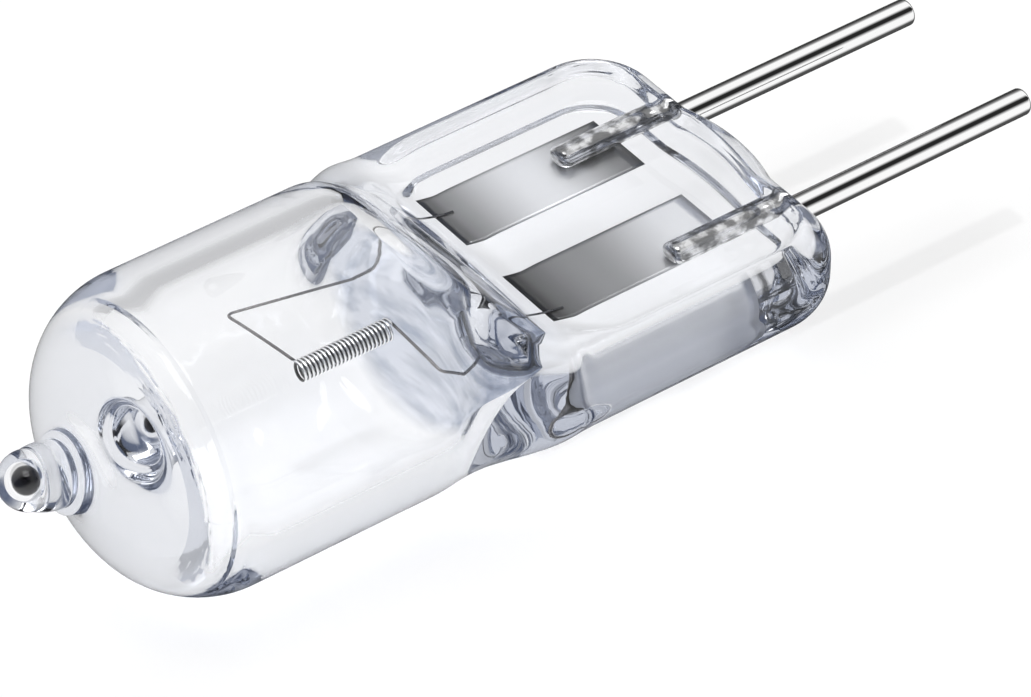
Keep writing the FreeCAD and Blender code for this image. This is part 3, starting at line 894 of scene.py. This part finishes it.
def lit_floor():
    """A white floor that keeps the soft shadow.

    Mirrored rays pass through it to the room, and so do rays from the glass, far from the lamp.
    """
    bpy.ops.mesh.primitive_circle_add(vertices=96, radius=0.9, fill_type="NGON")
    floor = bpy.context.object
    floor.name = "floor"
    floor.location = (-0.012, 0, FLOOR_LEVEL * 0.001)
    made = bpy.data.materials.new("floor")
    made.use_nodes = True
    tree = made.node_tree
    tree.nodes.remove(tree.nodes["Principled BSDF"])
    plain = node(tree, "ShaderNodeBsdfDiffuse", Color=(0.9, 0.9, 0.9, 1))
    white = node(tree, "ShaderNodeEmission", Color=(1, 1, 1, 1), Strength=1.0)
    path = tree.nodes.new("ShaderNodeLightPath")
    seen = math_node(tree, "MULTIPLY", path.outputs["Is Camera Ray"], FLOOR_WHITE)
    glassy = math_node(tree, "MULTIPLY", path.outputs["Is Transmission Ray"], FLOOR_WHITE_BY_GLASS)
    share = math_node(tree, "MAXIMUM", seen, glassy)
    lit = tree.nodes.new("ShaderNodeMixShader")
    tree.links.new(share, lit.inputs[0])
    tree.links.new(plain.outputs[0], lit.inputs[1])
    tree.links.new(white.outputs[0], lit.inputs[2])
    spot = tree.nodes.new("ShaderNodeTexCoord")
    length = tree.nodes.new("ShaderNodeVectorMath")
    length.operation = "LENGTH"
    tree.links.new(spot.outputs["Object"], length.inputs[0])
    far = node(tree, "ShaderNodeMapRange", From_Min=FLOOR_NEAR, From_Max=FLOOR_FAR)
    tree.links.new(length.outputs["Value"], far.inputs["Value"])
    refracted = path.outputs["Is Transmission Ray"]
    through_glass = math_node(tree, "MULTIPLY", far.outputs["Result"], refracted)
    bounced = math_node(tree, "SUBTRACT", path.outputs["Is Glossy Ray"], refracted)
    open_share = math_node(tree, "MAXIMUM", through_glass, bounced)
    clear = tree.nodes.new("ShaderNodeBsdfTransparent")
    mix = tree.nodes.new("ShaderNodeMixShader")
    tree.links.new(open_share, mix.inputs[0])
    tree.links.new(lit.outputs[0], mix.inputs[1])
    tree.links.new(clear.outputs[0], mix.inputs[2])
    tree.links.new(mix.outputs[0], tree.nodes["Material Output"].inputs["Surface"])
    floor.data.materials.append(made)


# Brightness of the room round the X axis, as metal shows it and as rays from the glass meet it:
# (degrees up from +Y, level)
ROOM = ((-180, 1.0), (-150, 1.0), (-118, 0.08), (-60, 0.06), (12, 0.05), (30, 0.2), (58, 1.0),
        (92, 1.0), (118, 0.02), (140, 0.02), (170, 1.0), (180, 1.0))
ROOM_BY_GLASS = ((-180, 0.9), (-20, 0.85), (5, 0.65), (25, 0.75), (45, 0.95), (105, 0.95), (128, 0.7),
                 (150, 0.9), (180, 0.9))
# Slate ends of the room, for rays from the glass, by how far they head along X
ROOM_ENDS = (0.16, 0.19, 0.27)
ENDS_OUTER = 0.55
ENDS_INNER = 0.85
# Unlit side of the room, for rays from the glass, by the cosine of their angle to PHOTO_SIDE
UNLIT = (0.012, 0.012, 0.016)
UNLIT_OUTER = 0.80
UNLIT_INNER = 0.93

# Lamps: name, size in metres, distance in metres, watts
LAMPS = (("wide", 0.5, 0.6, 2.0), ("small", 0.03, 0.6, 0.6))
LAMP_LEAN = math.radians(6.2)
LAMP_HEADING = (-0.595, -0.804)


def level_round(tree, turn, stops):
    """Brightness at a turn of 0 to 1 round the X axis."""
    ramp = tree.nodes.new("ShaderNodeValToRGB")
    ramp.color_ramp.interpolation = "EASE"
    for degrees, level in stops[1:-1]:
        ramp.color_ramp.elements.new(degrees / 360 + 0.5)
    for element, (degrees, level) in zip(ramp.color_ramp.elements, stops):
        element.position = degrees / 360 + 0.5
        element.color = (level, level, level, 1)
    tree.links.new(turn, ramp.inputs["Fac"])
    return ramp.outputs["Color"]


def studio():
    """A striped room for metal, a pale one with dark places for rays from the glass, and two lamps above."""
    world = bpy.data.worlds.new("studio")
    bpy.context.scene.world = world
    world.use_nodes = True
    tree = world.node_tree
    background = tree.nodes["Background"]
    place = tree.nodes.new("ShaderNodeTexCoord")
    parts = tree.nodes.new("ShaderNodeSeparateXYZ")
    tree.links.new(place.outputs["Generated"], parts.inputs[0])
    angle = math_node(tree, "ARCTAN2", parts.outputs["Z"], parts.outputs["Y"])
    turn = math_node(tree, "MULTIPLY_ADD", angle, 0.5 / math.pi, 0.5)
    along = math_node(tree, "ABSOLUTE", parts.outputs["X"])
    ends = node(tree, "ShaderNodeMapRange", From_Min=ENDS_OUTER, From_Max=ENDS_INNER)
    tree.links.new(along, ends.inputs["Value"])
    by_glass = level_round(tree, turn, ROOM_BY_GLASS)
    by_glass = mixed_colour(tree, ends.outputs["Result"], by_glass, ROOM_ENDS)
    facing = tree.nodes.new("ShaderNodeVectorMath")
    facing.operation = "DOT_PRODUCT"
    facing.inputs[1].default_value = PHOTO_SIDE.normalized()
    tree.links.new(place.outputs["Generated"], facing.inputs[0])
    unlit = node(tree, "ShaderNodeMapRange", From_Min=UNLIT_OUTER, From_Max=UNLIT_INNER)
    tree.links.new(facing.outputs["Value"], unlit.inputs["Value"])
    by_glass = mixed_colour(tree, unlit.outputs["Result"], by_glass, UNLIT)
    path = tree.nodes.new("ShaderNodeLightPath")
    by_metal = level_round(tree, turn, ROOM)
    shown = mixed_colour(tree, path.outputs["Is Transmission Ray"], by_metal, by_glass)
    shown = mixed_colour(tree, path.outputs["Is Camera Ray"], shown, (1.0, 1.0, 1.0))
    tree.links.new(shown, background.inputs["Color"])
    background.inputs["Strength"].default_value = 1.0
    heading_x, heading_y = LAMP_HEADING
    towards = Vector((heading_x * math.sin(LAMP_LEAN), heading_y * math.sin(LAMP_LEAN), math.cos(LAMP_LEAN)))
    for name, size, distance, energy in LAMPS:
        lamp = bpy.data.lights.new(name, "AREA")
        lamp.shape = "DISK"
        lamp.size = size
        lamp.energy = energy
        holder = bpy.data.objects.new(name, lamp)
        holder.location = towards * distance
        holder.rotation_euler = towards.to_track_quat("Z", "Y").to_euler()
        # Mirrored in the glass, the wide lamp would be a round disc
        holder.visible_glossy = name == "small"
        bpy.context.scene.collection.objects.link(holder)


CAMERA_TARGET = (-11.71, -3.31, 0)
CAMERA_DISTANCE = 0.1962
CAMERA_LENS = 206.8


def camera():
    """The photo's camera, 196 mm from the lamp."""
    back = PHOTO_SIDE.normalized()
    data = bpy.data.cameras.new("camera")
    data.sensor_width = 36.0
    data.lens = CAMERA_LENS
    data.clip_start = 0.01
    holder = bpy.data.objects.new("camera", data)
    holder.location = mm(CAMERA_TARGET) + back * CAMERA_DISTANCE
    holder.rotation_euler = back.to_track_quat("Z", "Y").to_euler()
    bpy.context.scene.collection.objects.link(holder)
    bpy.context.scene.camera = holder


def mark(piece, level):
    """Tells the glass whose faces these are: 0 the outside's, 1 the gas space's, 2 the bubble's."""
    face_kind = piece.data.attributes.new("face_kind", "FLOAT", "POINT")
    for point in face_kind.data:
        point.value = level


def dress(piece, look, cad_node):
    """Gives a piece its look, and puts it in its CAD node's place."""
    piece.data.materials.clear()
    piece.data.materials.append(look)
    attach(piece, "root")
    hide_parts(cad_node)


bpy.context.scene.view_settings.view_transform = "Standard"
# Light that is guided round the thick dome turns many times in the glass, and stays black if cut off
bpy.context.scene.cycles.glossy_bounces = 24
bpy.context.scene.cycles.max_bounces = 32
camera()
studio()
lit_floor()

outside = ring_mesh("glass_outside", outer_rings(), slot_end=True)
inside = ring_mesh("glass_inside", cavity_rings(), inside_out=True)
void = ring_mesh("tip_void", void_rings(), inside_out=True)
mark(inside, 1.0)
mark(void, 2.0)
dress(joined("glass", [outside, inside, void]), quartz(), "glass_envelope")

tungsten = drawn_tungsten()
dress(wire_mesh("filament_wire", wire_run(), WIRE_RADIUS), tungsten, "filament")

foil_look = rolled_foil()
pin_look = sealed_pin()
for name, side in (("left", 1), ("right", -1)):
    dress(foil_mesh("foil_" + name, side), foil_look, "seal_foil_" + name)
    dress(pin_mesh("pin_" + name, side), pin_look, "contact_pin_" + name)
